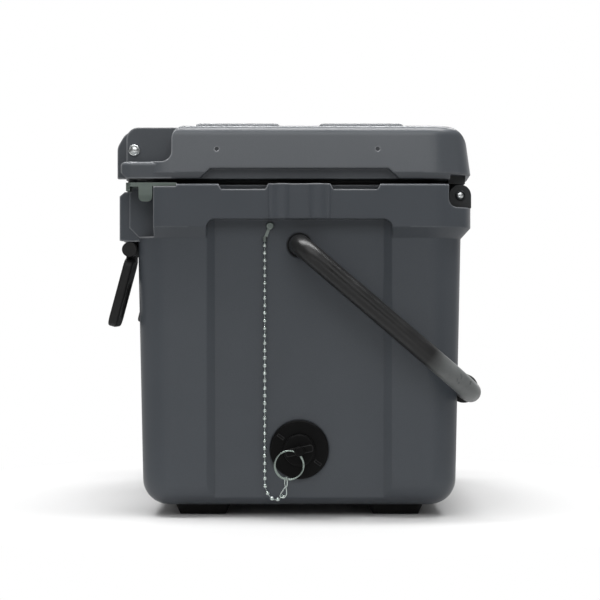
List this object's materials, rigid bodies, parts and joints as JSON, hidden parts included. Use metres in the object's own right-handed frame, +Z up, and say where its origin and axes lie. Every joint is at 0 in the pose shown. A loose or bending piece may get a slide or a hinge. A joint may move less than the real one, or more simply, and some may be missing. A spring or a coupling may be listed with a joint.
{
  "type": "hard cooler",
  "caption": "Hard-sided cooler with a hinged lid, rubber T-latches, a tubular bail handle, black feet and a drain plug on a bead chain",
  "frame": {"origin": "on the ground under the middle of the tub", "axes": "+X along the cooler towards the end with the drain, -Y towards the latches, +Z up"},
  "size_m": [0.4968, 0.3839, 0.399],
  "materials": {
    "shell_plastic": "satin",
    "black_plastic": "satin",
    "black_rubber": "matte",
    "stainless_steel": "satin",
    "handle_tube": "satin",
    "insulation_foam": "matte",
    "grip_rubber": "matte"
  },
  "bodies": {
    "tub": {"tub_shell": "shell_plastic", "tub_liner": "shell_plastic", "tub_foam": "insulation_foam", "tub_fill_plug": "black_plastic", "foot_front_left": "black_rubber", "foot_front_right": "black_rubber", "foot_rear_left": "black_rubber", "foot_rear_right": "black_rubber", "foot_screws": "stainless_steel", "drain_fitting": "black_plastic", "drain_seal": "black_rubber", "bail_bushing_left": "black_plastic", "bail_bushing_right": "black_plastic", "lock_plate_left": "stainless_steel", "lock_plate_right": "stainless_steel", "lock_plate_screws": "stainless_steel", "hinge_base_left": "black_plastic", "hinge_base_right": "black_plastic", "hinge_base_screws": "stainless_steel", "hinge_pin_left": "stainless_steel", "hinge_pin_right": "stainless_steel", "chain_screw": "stainless_steel", "chain_tag": "stainless_steel", "ball_chain": "stainless_steel"},
    "lid": {"lid_shell": "shell_plastic", "lid_foam": "insulation_foam", "lid_gasket": "black_rubber", "lid_vent_plugs": "black_plastic", "hinge_leaf_left": "black_plastic", "hinge_leaf_right": "black_plastic", "hinge_leaf_screws": "stainless_steel", "latch_pin_left": "stainless_steel", "latch_pin_right": "stainless_steel"},
    "left_latch": {"latch_left": "black_rubber"},
    "right_latch": {"latch_right": "black_rubber"},
    "bail": {"bail_tube": "handle_tube", "bail_grip": "grip_rubber"},
    "plug_carrier": {"plug_swivel": "black_plastic", "plug_ring": "stainless_steel", "chain_clip": "stainless_steel"},
    "plug": {"drain_plug": "black_plastic", "plug_seal": "black_rubber"}
  },
  "joints": [
    {"name": "lid_hinge", "type": "hinge", "parent": "tub", "child": "lid", "pos_m": [0, 0.1633, 0.3255], "axis": [-1, 0, 0], "range_deg": [0, 90]},
    {"name": "left_latch_swing", "type": "hinge", "parent": "lid", "child": "left_latch", "pos_m": [-0.158, -0.168, 0.3717], "axis": [-1, 0, 0], "range_deg": [0, 100]},
    {"name": "right_latch_swing", "type": "hinge", "parent": "lid", "child": "right_latch", "pos_m": [0.158, -0.168, 0.3717], "axis": [-1, 0, 0], "range_deg": [0, 100]},
    {"name": "bail_swing", "type": "hinge", "parent": "tub", "child": "bail", "pos_m": [0, 0, 0.2745], "axis": [1, 0, 0], "range_deg": [0, 261]},
    {"name": "plug_travel", "type": "slide", "parent": "tub", "child": "plug_carrier", "axis": [1, 0, 0], "range_m": [0, 0.012]},
    {"name": "plug_turn", "type": "hinge", "parent": "plug_carrier", "child": "plug", "pos_m": [0.21, 0, 0.0687], "axis": [1, 0, 0], "range_deg": [0, 1080]}
  ],
  "couplings": [
    {"joint": "plug_travel", "follows": "plug_turn", "m_per_rad": 0.00063662}
  ]
}
